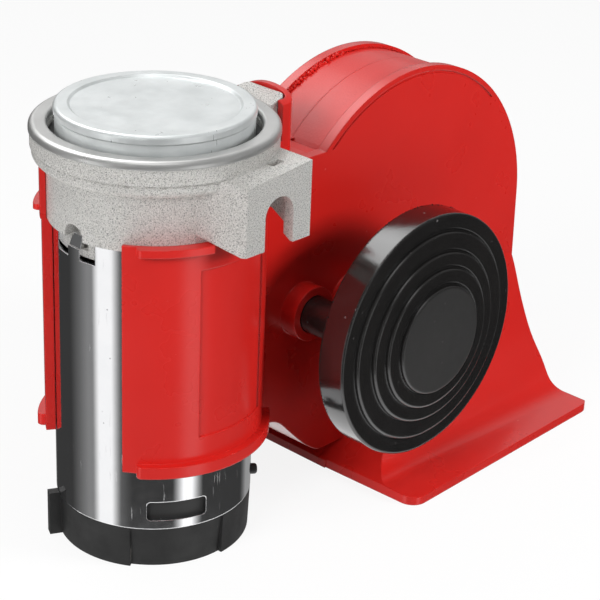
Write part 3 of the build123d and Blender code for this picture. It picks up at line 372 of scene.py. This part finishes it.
# %% Make the cast metal
CAST_GREYS = (0.77, 0.76, 0.73, 1), (0.92, 0.905, 0.87, 1)
# painted shade: a near black for the grain's pits, where shade falls
CAST_PIT_SHADE = (0.24, 0.23, 0.215, 1)
# painted glints: a near white for bright specks in the grain
CAST_PAINTED_GLINT = (1.0, 0.98, 0.95, 1)
TURNED_GREYS = (0.52, 0.52, 0.51, 1), (0.70, 0.70, 0.69, 1)
CAST_BLUR = 0.46


def make_cast_metal():
    material, tree, shader = new_finish("cast_zinc")
    grain = noise(tree, 3000.0, roughness=0.7)
    patches = noise(tree, 70.0)
    turned = turned_flange(tree)
    cast = maths(tree, "SUBTRACT", 1.0, turned)
    # Painted shade darkens the grain's pits, where its relief is low, and a finer noise paints glints as
    # bright specks.
    painted_pit_shade = spread(tree, grain, low=0.36, high=0.50, to_low=0.85, to_high=0.0)
    painted_glints = spread(tree, noise(tree, 3400.0, detail=1.0), low=0.56, high=0.64)
    cast_colour = blend_colours(tree, painted_pit_shade, blend_colours(tree, patches, *CAST_GREYS), CAST_PIT_SHADE)
    cast_colour = blend_colours(tree, painted_glints, cast_colour, CAST_PAINTED_GLINT)
    turned_colour = blend_colours(tree, patches, *TURNED_GREYS)
    tree.links.new(blend_colours(tree, turned, cast_colour, turned_colour), shader.inputs["Base Color"])
    tree.links.new(spread(tree, turned, 0, 1, to_low=0.62, to_high=0.80), shader.inputs["Metallic"])
    streaks = spread(tree, noise(tree, 130.0, detail=4.0), low=0.3, high=0.7, to_low=0.26, to_high=0.42)
    blur = maths(tree, "MULTIPLY", cast, CAST_BLUR)
    blur = maths(tree, "ADD", maths(tree, "MULTIPLY", streaks, turned), blur)
    tree.links.new(blur, shader.inputs["Roughness"])
    lathe_lines = maths(tree, "MULTIPLY", noise(tree, 60.0, stretch=(1.0, 1.0, 60.0)), 0.12)
    lathe_lines = maths(tree, "MULTIPLY", lathe_lines, turned)
    relief = maths(tree, "ADD", maths(tree, "MULTIPLY", grain, cast), lathe_lines)
    bump(tree, shader, relief, depth=0.00048, under=rounded_edges(tree, radius=0.0004))
    return material


finishes["cast_metal"] = make_cast_metal()
print("made", finishes["cast_metal"].name)

# %% [markdown]
# ## Bright metals
# The can is bright steel, almost a mirror, so nearly all of its look is what it reflects; only pin dots and
# hair scratches are its own. The cap is zinc plated: much duller, with upright streaks on its side. The same
# function makes both, and the plainer shop metals inside, from colour, blur, streaks and wear.

# %% Helper for hair scratches
SQUEEZE = 0.06                   # of the coordinates along Z, which draws the noise out some sixteen times


def scratches(tree, scale, turn, level):
    """Short upright scratches: peaks of a noise drawn out along Z, in patches; turn picks another noise."""
    coordinates = add(tree, "ShaderNodeTexCoord")
    drawn_out = add(tree, "ShaderNodeMapping", Vector=coordinates.outputs["Object"], Rotation=turn,
                    Scale=(1, 1, SQUEEZE))
    streaks = add(tree, "ShaderNodeTexNoise", Vector=drawn_out.outputs["Vector"], Scale=scale, Detail=2.0)
    patches = spread(tree, noise(tree, 80.0, detail=2.0), low=0.48, high=0.60)
    return maths(tree, "MULTIPLY", spread(tree, streaks.outputs["Fac"], level, level + 0.03), patches)


print("scratches ready")

# %% How a metal is made
SPECK_GREY = (0.25, 0.25, 0.26, 1)


def make_metal(name, colour, stain, rough, relief, stretch=(1, 1, 1), wear=0.0, metal=1.0):
    material, tree, shader = new_finish(name, Metallic=metal)
    stains = spread(tree, noise(tree, 110.0, detail=5.0), low=0.35, high=0.75)
    stains = maths(tree, "MULTIPLY", stains, 0.5)
    specks = maths(tree, "MULTIPLY", pin_dots(tree, scale=330.0, size=0.09, share=0.25), wear)
    tint = blend_colours(tree, specks, blend_colours(tree, stains, colour, stain), SPECK_GREY)
    tree.links.new(tint, shader.inputs["Base Color"])
    hairs = maths(tree, "MAXIMUM", scratches(tree, 1500.0, turn=(0.9, 0.3, 0.0), level=0.68),
                  scratches(tree, 1300.0, turn=(-0.5, 0.8, 0.0), level=0.69))
    marks = maths(tree, "MAXIMUM", maths(tree, "MULTIPLY", hairs, wear), specks)
    streaks = noise(tree, 320.0, detail=5.0, stretch=stretch)
    blur = spread(tree, streaks, 0.3, 0.75, *rough)
    tree.links.new(maths(tree, "ADD", blur, maths(tree, "MULTIPLY", marks, 0.25)), shader.inputs["Roughness"])
    bump(tree, shader, streaks, depth=relief, under=rounded_edges(tree, radius=0.0003))
    return material


print("metals come from one function")

# %% The metals of this horn
METALS = {
    "bright_can": dict(name="chrome_can", colour=(0.88, 0.88, 0.89, 1), stain=(0.80, 0.81, 0.83, 1),
                       rough=(0.05, 0.10), relief=0.000004, wear=0.8),
    "plated_cap": dict(name="plated_cap", colour=(0.80, 0.83, 0.83, 1), stain=(0.50, 0.53, 0.53, 1),
                       rough=(0.27, 0.46), relief=0.00005, stretch=(1.0, 1.0, 0.10), metal=0.58),
    "steel": dict(name="plain_steel", colour=(0.55, 0.55, 0.56, 1), stain=(0.45, 0.44, 0.43, 1),
                  rough=(0.25, 0.4), relief=0.00002),
    "copper": dict(name="copper", colour=(0.80, 0.36, 0.20, 1), stain=(0.62, 0.26, 0.14, 1),
                   rough=(0.2, 0.35), relief=0.00002),
    "brass": dict(name="brass", colour=(0.75, 0.55, 0.25, 1), stain=(0.60, 0.42, 0.18, 1),
                  rough=(0.2, 0.35), relief=0.00002)}

for slot, values in METALS.items():
    finishes[slot] = make_metal(**values)
print("finishes:", sorted(finishes))

# %% [markdown]
# ## Put the finishes on
# Each piece could be dressed by name, but the record already names a slot for every one. So the finishes go
# on in one loop, and nothing is left with the plain colour that the model came with.

# %% Dress every measured piece
for name, piece in nodes.items():
    piece.data.materials.clear()
    piece.data.materials.append(finishes[slot_of[name]])
print("dressed", len(nodes), "pieces")

# %% [markdown]
# ## Rough seams
# Moulded and cast parts show where their halves met: a lumpy bead of squeezed plastic, a torn edge of flash,
# a line of grains under a flange. A bump can't break an outline, so these are real lumps. All are many small
# lumps along an arc, which one Geometry Nodes tree can make: an arc becomes points, each point strays a
# little and gets a lump of its own size and turn, and a noise breaks the lumps up.

# %% Random steps and points along an arc
def random_vector(tree, low, high, seed):
    """A random vector for each point, its parts between two numbers."""
    node = add(tree, "FunctionNodeRandomValue", {"data_type": "FLOAT_VECTOR"}, Seed=seed)
    node.inputs[0].default_value = (low, low, low)
    node.inputs[1].default_value = (high, high, high)
    return node.outputs[0]


def straying_points(tree, given):
    """Points along an arc, each moved by a random share of the Stray input."""
    arc = add(tree, "GeometryNodeCurveArc", {"mode": "RADIUS"}, Resolution=given["Lumps"],
              Radius=given["Radius"], Start_Angle=given["Start Angle"], Sweep_Angle=given["Sweep Angle"])
    points = add(tree, "GeometryNodeCurveToPoints", {"mode": "EVALUATED"}, Curve=arc.outputs["Curve"])
    stray = add(tree, "ShaderNodeVectorMath", {"operation": "MULTIPLY"})
    fill(tree, stray.inputs[0], random_vector(tree, -1.0, 1.0, given["Seed"]))
    fill(tree, stray.inputs[1], given["Stray"])
    moved = add(tree, "GeometryNodeSetPosition", Geometry=points.outputs["Points"], Offset=stray.outputs[0])
    return moved.outputs[0]


print("arc of points ready")

# %% Lumps on the points, and their broken surface
TURN_SEED_STEP = 7.0             # turns draw from another seed than strays and sizes
BREAK_SCALE = 1400.0             # of the noise that breaks the lumps up, in cells per metre


def lumps_on(tree, given, points):
    """A lump on each point, of random size and turn, carried to the seam's place."""
    lump = add(tree, "GeometryNodeMeshIcoSphere", Radius=given["Lump Size"], Subdivisions=1)
    turn_seed = maths(tree, "ADD", given["Seed"], TURN_SEED_STEP)
    placed = add(tree, "GeometryNodeInstanceOnPoints", Points=points, Instance=lump.outputs["Mesh"],
                 Rotation=random_vector(tree, 0.0, 6.28, turn_seed),
                 Scale=random_vector(tree, 0.35, 1.25, given["Seed"]))
    turned = add(tree, "GeometryNodeTransform", Geometry=placed.outputs["Instances"],
                 Translation=given["Centre"], Rotation=given["Turn"])
    return add(tree, "GeometryNodeRealizeInstances", Geometry=turned.outputs[0]).outputs[0]


def broken_up(tree, given, geometry):
    """The lumps with their points moved by a noise, by half a lump at most."""
    breaks = add(tree, "ShaderNodeTexNoise", Scale=BREAK_SCALE, Detail=1.0)
    centred = add(tree, "ShaderNodeVectorMath", {"operation": "SUBTRACT"})
    fill(tree, centred.inputs[0], breaks.outputs["Color"])
    fill(tree, centred.inputs[1], (0.5, 0.5, 0.5))
    scaled = add(tree, "ShaderNodeVectorMath", {"operation": "SCALE"}, Vector=centred.outputs[0],
                 Scale=given["Lump Size"])
    rough = add(tree, "GeometryNodeSetPosition", Geometry=geometry, Offset=scaled.outputs[0])
    return add(tree, "GeometryNodeSetShadeSmooth", Geometry=rough.outputs[0]).outputs[0]


print("lumps ready")

# %% The tree for a rough seam
SEAM_INPUTS = {
    "Radius": "NodeSocketFloat", "Start Angle": "NodeSocketFloat", "Sweep Angle": "NodeSocketFloat",
    "Lumps": "NodeSocketInt", "Lump Size": "NodeSocketFloat", "Stray": "NodeSocketVector",
    "Centre": "NodeSocketVector", "Turn": "NodeSocketVector", "Seed": "NodeSocketInt",
    "Finish": "NodeSocketMaterial"}


def build_seam_tree():
    tree = bpy.data.node_groups.new("rough_seam", "GeometryNodeTree")
    for label, kind in SEAM_INPUTS.items():
        tree.interface.new_socket(name=label, in_out="INPUT", socket_type=kind)
    tree.interface.new_socket(name="Geometry", in_out="OUTPUT", socket_type="NodeSocketGeometry")
    given = tree.nodes.new("NodeGroupInput").outputs
    lumps = lumps_on(tree, given, straying_points(tree, given))
    dressed = add(tree, "GeometryNodeSetMaterial", Geometry=broken_up(tree, given, lumps),
                  Material=given["Finish"])
    result = tree.nodes.new("NodeGroupOutput")
    tree.links.new(dressed.outputs[0], result.inputs["Geometry"])
    return tree


seam_tree = build_seam_tree()
print("tree", seam_tree.name, "with", len(seam_tree.nodes), "nodes")

# %% Turn the tree's result into a plain mesh
UPRIGHT = (pi / 2, 0.0, 0.0)     # turns an arc from the floor's plane to a plane along X and Z


def make_seam(name, slot, **inputs):
    """One seam: the tree's result for these inputs, kept as a mesh that rides on the horn."""
    holder = bpy.data.objects.new(name + "_tree", bpy.data.meshes.new(name + "_tree"))
    bpy.context.scene.collection.objects.link(holder)
    modifier = holder.modifiers.new("seam", "NODES")
    modifier.node_group = seam_tree
    inputs["Finish"] = finishes[slot]
    for item in seam_tree.interface.items_tree:
        if item.in_out == "INPUT":
            modifier[item.identifier] = inputs[item.name.replace(" ", "_")]
    evaluated = holder.evaluated_get(bpy.context.evaluated_depsgraph_get())
    mesh = bpy.data.meshes.new_from_object(evaluated)
    bpy.data.objects.remove(holder)
    piece = bpy.data.objects.new(name, mesh)
    bpy.context.scene.collection.objects.link(piece)
    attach(piece, "horn")
    print(name, "has", len(mesh.polygons), "faces")
    return piece


print("ready to make seams with", len(SEAM_INPUTS), "inputs")

# %% [markdown]
# ## Where the seams are
# The far side plate was welded on with too much plastic: a coarse bead along the part of its edge nearest to
# the compressor, with finer flash running on over the top. The discs have flash where cap and tray meet and,
# finer, at the edge of the face. The casting has a line of grains under its flange, where the die's halves
# met. Each seam is one call, set out from the measured edges by a small named step.

# %% Bead and flash along the far side plate
BEAD_INSET = 0.00105             # from the plate's edge inwards
FLASH_INSET = 0.0011
BEAD_SHIFT = Vector((0.0, -0.0001, 0.0))
far_plate_centre = Vector((HOUSING_AXIS[0], housing_middle + plate_inside, HOUSING_AXIS[1]))
make_seam("far_plate_bead", "horn_red", Radius=plate_radius - BEAD_INSET, Start_Angle=radians(94.0),
          Sweep_Angle=radians(27.0), Lumps=120, Lump_Size=0.00062, Stray=(0.0005, 0.0005, 0.00045), Seed=3,
          Turn=UPRIGHT, Centre=far_plate_centre + BEAD_SHIFT)
make_seam("far_plate_flash", "horn_red", Radius=plate_radius - FLASH_INSET, Start_Angle=radians(62.0),
          Sweep_Angle=radians(60.0), Lumps=190, Lump_Size=0.0003, Stray=(0.0002, 0.0002, 0.0002), Seed=5,
          Turn=UPRIGHT, Centre=far_plate_centre)

# %% Flash at the edges of the two discs
DISC_INSET = 0.00008
TRAY_JOINT = 0.0002              # from the disc's back to the flash at the tray
FACE_EDGE = 0.00795              # from the disc's back to the flash at its face
DISC_EDGES = {  # edge: distance from the middle plane, lump size, start and sweep in degrees
    "back": (disc_back + TRAY_JOINT, 0.00022, 60.0, 150.0),
    "front": (disc_back + FACE_EDGE, 0.00016, 95.0, 90.0)}
for side, sign in (("near", -1.0), ("far", 1.0)):
    for edge, (distance, size, start, sweep) in DISC_EDGES.items():
        make_seam(f"{side}_disc_{edge}_flash", "disc_black", Radius=disc_radius - DISC_INSET,
                  Start_Angle=radians(start), Sweep_Angle=radians(sweep), Lumps=150, Lump_Size=size,
                  Stray=(0.00018, 0.00018, 0.00012), Seed=11, Turn=UPRIGHT,
                  Centre=Vector((disc_middle.x, housing_middle + sign * distance, disc_middle.z)))

# %% Grains under the flange
FLASH_DROP = 0.0064              # of the die's joint, from the head's top
NECK_STEP = 0.00078              # from the flange's edge inwards
make_seam("flange_flash", "cast_metal", Radius=flange_radius - NECK_STEP, Start_Angle=radians(-196.0),
          Sweep_Angle=radians(106.0), Lumps=260, Lump_Size=0.00028, Stray=(0.0002, 0.0002, 0.0004), Seed=21,
          Turn=(0.0, 0.0, 0.0), Centre=Vector((0.0, 0.0, head_high.z - FLASH_DROP)))

# %% [markdown]
# ## Light for reflections
# Polished metal only looks like metal when it has something dark and something bright to show. A studio
# gives it tall soft boxes either side of the camera and darkness between them, so the can gets upright white
# bands. Real boxes would need careful placing. Painting them on the world by direction, for reflections
# alone, puts each band where it is wanted and leaves the diffuse light to lamps.

# %% Helpers for directions
CAMERA_TURN = -133.0             # degrees round Z, where the camera stands


def turn_share(degrees):
    """Place of a direction in the radial gradient, which runs from 0 at -180 degrees to 1 at 180."""
    return ((degrees + 180.0) % 360.0) / 360.0


def heading(turn, lift):
    """Unit vector at an angle round Z and a height, in degrees."""
    lifted = Matrix.Rotation(-radians(lift), 3, "Y") @ Vector((1, 0, 0))
    return Matrix.Rotation(radians(turn), 3, "Z") @ lifted


print("camera stands towards", [round(part, 2) for part in heading(CAMERA_TURN, 0.0)])

# %% Upright bands
DARK = 0.042
BAND_FALL = 1.6                  # how fast a band fades at its soft edge
BANDS = (  # direction round Z, half width and soft edge in degrees, and strength
    (-190.0, 8.0, 15.0, 1.05), (-200.0, 14.0, 44.0, 0.24), (-92.0, 5.0, 15.0, 1.2), (30.0, 22.0, 22.0, 0.32))


def add_bands(tree, vector):
    """Grey by direction round Z: dark, with soft bright bands."""
    wheel = add(tree, "ShaderNodeTexGradient", {"gradient_type": "RADIAL"}, Vector=vector)
    total = DARK
    for direction, half, soft, strength in BANDS:
        away = maths(tree, "ABSOLUTE", maths(tree, "SUBTRACT", wheel.outputs["Fac"], turn_share(direction)))
        wrapped = maths(tree, "MINIMUM", away, maths(tree, "SUBTRACT", 1.0, away))
        band = spread(tree, wrapped, half / 360.0, (half + soft) / 360.0, 1.0, 0.0)
        glow = maths(tree, "MULTIPLY", maths(tree, "POWER", band, BAND_FALL), strength)
        total = maths(tree, "MAXIMUM", glow, total)
    return total


print("bands at", [band[0] for band in BANDS], "degrees")

# %% Round boxes overhead
BOX_FALL = 1.4
BOXES = (  # direction round Z, height, angle where full and where faded out in degrees, and strength
    (90.0, 55.0, 8.0, 34.0, 4.0), (42.0, 27.0, 16.0, 46.0, 0.62), (CAMERA_TURN, 68.0, 8.0, 24.0, 1.5))


def add_boxes(tree, vector):
    """Grey by direction: round soft boxes, dark elsewhere."""
    total = 0.0
    for turn, lift, full, faded, strength in BOXES:
        along = add(tree, "ShaderNodeVectorMath", {"operation": "DOT_PRODUCT"})
        fill(tree, along.inputs[0], vector)
        fill(tree, along.inputs[1], heading(turn, lift))
        glow = spread(tree, along.outputs["Value"], cos(radians(faded)), cos(radians(full)))
        glow = maths(tree, "MULTIPLY", maths(tree, "POWER", glow, BOX_FALL), strength)
        total = maths(tree, "ADD", glow, total)
    return total


print("boxes at", [box[:2] for box in BOXES], "degrees")

# %% What a reflection sees
ROOM = 0.16                      # grey room above the horizon
HORIZON = 0.10                   # sine of the angle where the bands give way to the room
TABLE_FROM = -0.52               # sine of the angle below which a reflection sees the pale table
TABLE = 1.3
TABLE_FADE = 0.15
ROOM_FADE = 0.12


def reflected_grey(tree):
    """Bands round the horizon, boxes in a dim room above, the table below."""
    direction = add(tree, "ShaderNodeTexCoord").outputs["Generated"]
    height = add(tree, "ShaderNodeSeparateXYZ", Vector=direction).outputs["Z"]
    above = maths(tree, "ADD", add_boxes(tree, direction), ROOM)
    table = spread(tree, height, TABLE_FROM, TABLE_FROM - TABLE_FADE, to_low=0.0, to_high=TABLE)
    below = maths(tree, "MAXIMUM", add_bands(tree, direction), table)
    up = spread(tree, height, HORIZON, HORIZON + ROOM_FADE)
    down = maths(tree, "SUBTRACT", 1.0, up)
    return maths(tree, "ADD", maths(tree, "MULTIPLY", above, up), maths(tree, "MULTIPLY", below, down))


print("table seen below", TABLE_FROM, "and room above", HORIZON)

# %% World: white to the camera, a little grey light all round, bands for the metal
WHITE = (1, 1, 1, 1)
FILL = 0.030


def make_world():
    world = bpy.data.worlds.new("studio")
    world.use_nodes = True
    tree = world.node_tree
    tree.nodes.clear()
    rays = add(tree, "ShaderNodeLightPath").outputs
    shine = add(tree, "ShaderNodeBackground", Color=WHITE, Strength=reflected_grey(tree))
    fill_light = add(tree, "ShaderNodeBackground", Color=WHITE, Strength=FILL)
    backdrop = add(tree, "ShaderNodeBackground", Color=WHITE, Strength=1.0)
    lit = add(tree, "ShaderNodeMixShader", Fac=rays["Is Glossy Ray"])
    tree.links.new(fill_light.outputs[0], lit.inputs[1])
    tree.links.new(shine.outputs[0], lit.inputs[2])
    seen = add(tree, "ShaderNodeMixShader", Fac=rays["Is Camera Ray"])
    tree.links.new(lit.outputs[0], seen.inputs[1])
    tree.links.new(backdrop.outputs[0], seen.inputs[2])
    add(tree, "ShaderNodeOutputWorld", Surface=seen.outputs[0])
    return world


bpy.context.scene.world = make_world()
print("world ready, fill light", FILL)

# %% [markdown]
# ## Floor
# White paper lit until it is white would flood the object with light from below. So the camera sees mostly a
# white glow with a small share of lit paper, which keeps the shadow, and other rays meet a dimmer paper.

# %% Make the floor
FLOOR_SIZE = 12.0
SHADOW_SHARE = 0.12
PAPER = (0.86, 0.86, 0.86, 1)
DIM_PAPER = (0.43, 0.43, 0.43, 1)


def make_paper():
    material = bpy.data.materials.new("studio_paper")
    material.use_nodes = True
    tree = material.node_tree
    tree.nodes.clear()
    rays = add(tree, "ShaderNodeLightPath").outputs
    paper = add(tree, "ShaderNodeBsdfDiffuse", Color=PAPER)
    dim_paper = add(tree, "ShaderNodeBsdfDiffuse", Color=DIM_PAPER)
    glow = add(tree, "ShaderNodeEmission", Color=WHITE, Strength=1.0)
    shown = add(tree, "ShaderNodeMixShader", Fac=1.0 - SHADOW_SHARE)
    tree.links.new(paper.outputs[0], shown.inputs[1])
    tree.links.new(glow.outputs[0], shown.inputs[2])
    either = add(tree, "ShaderNodeMixShader", Fac=rays["Is Camera Ray"])
    tree.links.new(dim_paper.outputs[0], either.inputs[1])
    tree.links.new(shown.outputs[0], either.inputs[2])
    add(tree, "ShaderNodeOutputMaterial", Surface=either.outputs[0])
    return material


bpy.ops.mesh.primitive_plane_add(size=FLOOR_SIZE, location=(0, 0, 0))
floor = bpy.context.object
floor.name = "studio_floor"
floor.data.materials.append(make_paper())
floor.visible_glossy = False
print("floor of", FLOOR_SIZE, "m ready")

# %% [markdown]
# ## Lamps
# The diffuse light comes from area lamps: one on each side of the camera, where the bands are, a weak one
# behind and a large one overhead. Reflections don't show the lamps, because the painted world does that job.

# %% Place the lamps
AIM = Vector((0.055, 0.0, 0.055))
LAMPS = {  # name: direction round Z and height in degrees, distance and size in metres, power in watts
    "left_soft_box": (-172.0, 25.0, 1.0, 0.5, 9.6),
    "right_soft_box": (-58.0, 20.0, 0.9, 0.3, 7.4),
    "back_soft_box": (80.0, 52.0, 1.0, 0.55, 2.2),
    "overhead": (CAMERA_TURN, 78.0, 1.2, 0.8, 4.2)}


def add_lamp(name, turn, lift, distance, size, power):
    """A square area lamp aimed at the middle of the horn."""
    toward = heading(turn, lift)
    data = bpy.data.lights.new(name, "AREA")
    data.size = size
    data.energy = power
    lamp = bpy.data.objects.new(name, data)
    lamp.location = AIM + toward * distance
    lamp.rotation_euler = (-toward).to_track_quat("-Z", "Y").to_euler()
    lamp.visible_glossy = False
    bpy.context.scene.collection.objects.link(lamp)


for name, row in LAMPS.items():
    add_lamp(name, *row)
print("lamps:", list(LAMPS))

# %% [markdown]
# ## Camera
# A long lens from the front left and a little above shows the can, the disc and the bell's foot together.
# The axes of its frame are written out, because angles would leave a doubt about the roll.

# %% Place the camera
CAMERA_PLACE = Vector((-0.30822, -0.33821, 0.27543))
CAMERA_RIGHT = Vector((0.69356, -0.71955, 0.03491))
CAMERA_UP = Vector((0.27928, 0.31322, 0.90769))
LENS = 118.606                   # millimetres
SENSOR = 36.0

camera_data = bpy.data.cameras.new("camera")
camera_data.lens = LENS
camera_data.sensor_width = SENSOR
camera = bpy.data.objects.new("camera", camera_data)
camera_frame = Matrix((CAMERA_RIGHT, CAMERA_UP, CAMERA_RIGHT.cross(CAMERA_UP))).transposed()
camera.matrix_world = Matrix.Translation(CAMERA_PLACE) @ camera_frame.to_4x4()
bpy.context.scene.collection.objects.link(camera)
bpy.context.scene.camera = camera
bpy.context.scene.view_settings.view_transform = "Standard"
print("camera at", list(CAMERA_PLACE))
